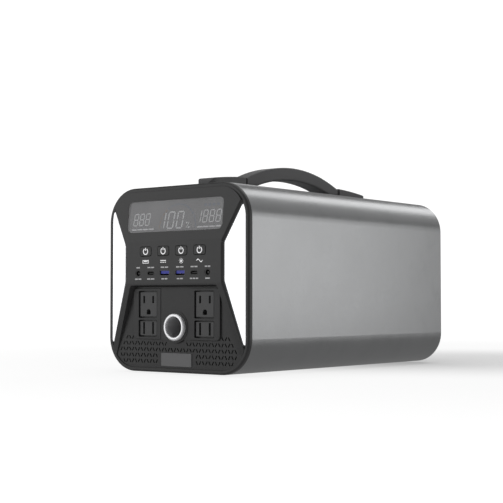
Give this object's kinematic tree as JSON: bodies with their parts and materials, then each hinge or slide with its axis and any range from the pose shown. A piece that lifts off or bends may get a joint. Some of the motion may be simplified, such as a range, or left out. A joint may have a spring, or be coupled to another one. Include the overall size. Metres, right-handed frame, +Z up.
{
  "type": "portable power station",
  "caption": "Portable power station: rounded aluminium sleeve, dark front with display, buttons, sockets and side lights, arched swing handle, rear fans.",
  "frame": {"origin": "centre of the underside of the bounding box, on the surface the feet rest on", "axes": "+Z up, the front with the display and sockets faces -Y, +X is to the right of someone facing the front"},
  "size_m": [0.19, 0.3783, 0.2252],
  "materials": {
    "shell_aluminium": "satin bead-blasted anodised grey",
    "panel_plastic": "fine matte texture",
    "recess_plastic": "fine matte texture",
    "handle_plastic": "fine matte texture",
    "button_plastic": "satin",
    "outlet_plastic": "satin",
    "port_black": "satin black",
    "port_steel": "plated steel",
    "blue_plastic": "satin",
    "light_diffuser": "milky white diffuser, lit",
    "display_glass": "smoked window",
    "display_cell": "liquid crystal cell",
    "badge_plastic": "satin blank badge",
    "socket_chrome": "polished chrome plate",
    "socket_plastic": "satin black",
    "contact_brass": "bright",
    "black_rubber": "matte",
    "plated_steel": "zinc plated",
    "tray_steel": "galvanised",
    "fan_plastic": "satin black",
    "switch_plastic": "satin black",
    "circuit_board": "solder mask",
    "cell_wrap": "shrink wrap",
    "holder_plastic": "moulded black",
    "nickel_strip": "nickel",
    "lead_rubber": "silicone insulation",
    "sink_aluminium": "extruded",
    "coil_tape": "wound coil tape",
    "capacitor_sleeve": "shrink sleeve"
  },
  "bodies": {
    "case": {"badge_plate": "badge_plastic", "battery_board": "circuit_board", "battery_cells": "cell_wrap", "battery_leads": "lead_rubber", "bracket_screws": "plated_steel", "button_switches": "switch_plastic", "car_socket": "plated_steel", "car_socket_contact": "contact_brass", "car_socket_nut": "plated_steel", "car_socket_ring": "socket_chrome", "case_screws": "plated_steel", "case_seals": "black_rubber", "cell_bus_bars": "nickel_strip", "charge_inlet": "socket_plastic", "chassis_tray": "tray_steel", "control_board": "circuit_board", "dc_jacks": "port_black", "display_board": "circuit_board", "display_module": "display_cell", "display_window": "display_glass", "front_cell_holder": "holder_plastic", "front_frame": "panel_plastic", "front_handle_bracket": "handle_plastic", "front_panel": "panel_plastic", "handle_pins": "plated_steel", "inverter_board": "circuit_board", "inverter_capacitors": "capacitor_sleeve", "inverter_heat_sinks": "sink_aluminium", "inverter_transformers": "coil_tape", "left_fan_frame": "fan_plastic", "left_flat_outlet": "outlet_plastic", "left_grounded_outlet": "outlet_plastic", "left_light_lens": "light_diffuser", "left_usb_a_port": "port_steel", "left_usb_c_port": "port_black", "light_boards": "circuit_board", "outlet_contacts": "contact_brass", "outlet_plate": "recess_plastic", "port_board": "circuit_board", "rear_cell_holder": "holder_plastic", "rear_cover": "panel_plastic", "rear_handle_bracket": "handle_plastic", "right_fan_frame": "fan_plastic", "right_flat_outlet": "outlet_plastic", "right_grounded_outlet": "outlet_plastic", "right_light_lens": "light_diffuser", "right_usb_a_port": "port_steel", "right_usb_c_port": "port_black", "rubber_feet": "black_rubber", "sleeve": "shell_aluminium", "solar_inlets": "socket_plastic", "usb_a_tongues": "blue_plastic", "vent_panel": "recess_plastic"},
    "handle": {"handle_grip": "handle_plastic"},
    "usb_button": {"usb_button": "button_plastic"},
    "dc_button": {"dc_button": "button_plastic"},
    "light_button": {"light_button": "button_plastic"},
    "ac_button": {"ac_button": "button_plastic"},
    "left_fan_rotor": {"left_fan_rotor": "fan_plastic"},
    "right_fan_rotor": {"right_fan_rotor": "fan_plastic"}
  },
  "joints": [
    {"name": "handle_swing", "type": "hinge", "parent": "case", "child": "handle", "pos_m": [0, 0.006, 0.2037], "axis": [0, 1, 0], "range_deg": [-90, 90]},
    {"name": "usb_press", "type": "slide", "parent": "case", "child": "usb_button", "axis": [0, 1, 0], "range_m": [0, 0.001], "stiffness_N_per_m": 1500, "springref_m": -0.0005},
    {"name": "dc_press", "type": "slide", "parent": "case", "child": "dc_button", "axis": [0, 1, 0], "range_m": [0, 0.001], "stiffness_N_per_m": 1500, "springref_m": -0.0005},
    {"name": "light_press", "type": "slide", "parent": "case", "child": "light_button", "axis": [0, 1, 0], "range_m": [0, 0.001], "stiffness_N_per_m": 1500, "springref_m": -0.0005},
    {"name": "ac_press", "type": "slide", "parent": "case", "child": "ac_button", "axis": [0, 1, 0], "range_m": [0, 0.001], "stiffness_N_per_m": 1500, "springref_m": -0.0005},
    {"name": "left_fan_spin", "type": "hinge", "parent": "case", "child": "left_fan_rotor", "pos_m": [-0.043, 0.18545, 0.1135], "axis": [0, 1, 0], "continuous": true},
    {"name": "right_fan_spin", "type": "hinge", "parent": "case", "child": "right_fan_rotor", "pos_m": [0.043, 0.18545, 0.1135], "axis": [0, 1, 0], "continuous": true}
  ]
}
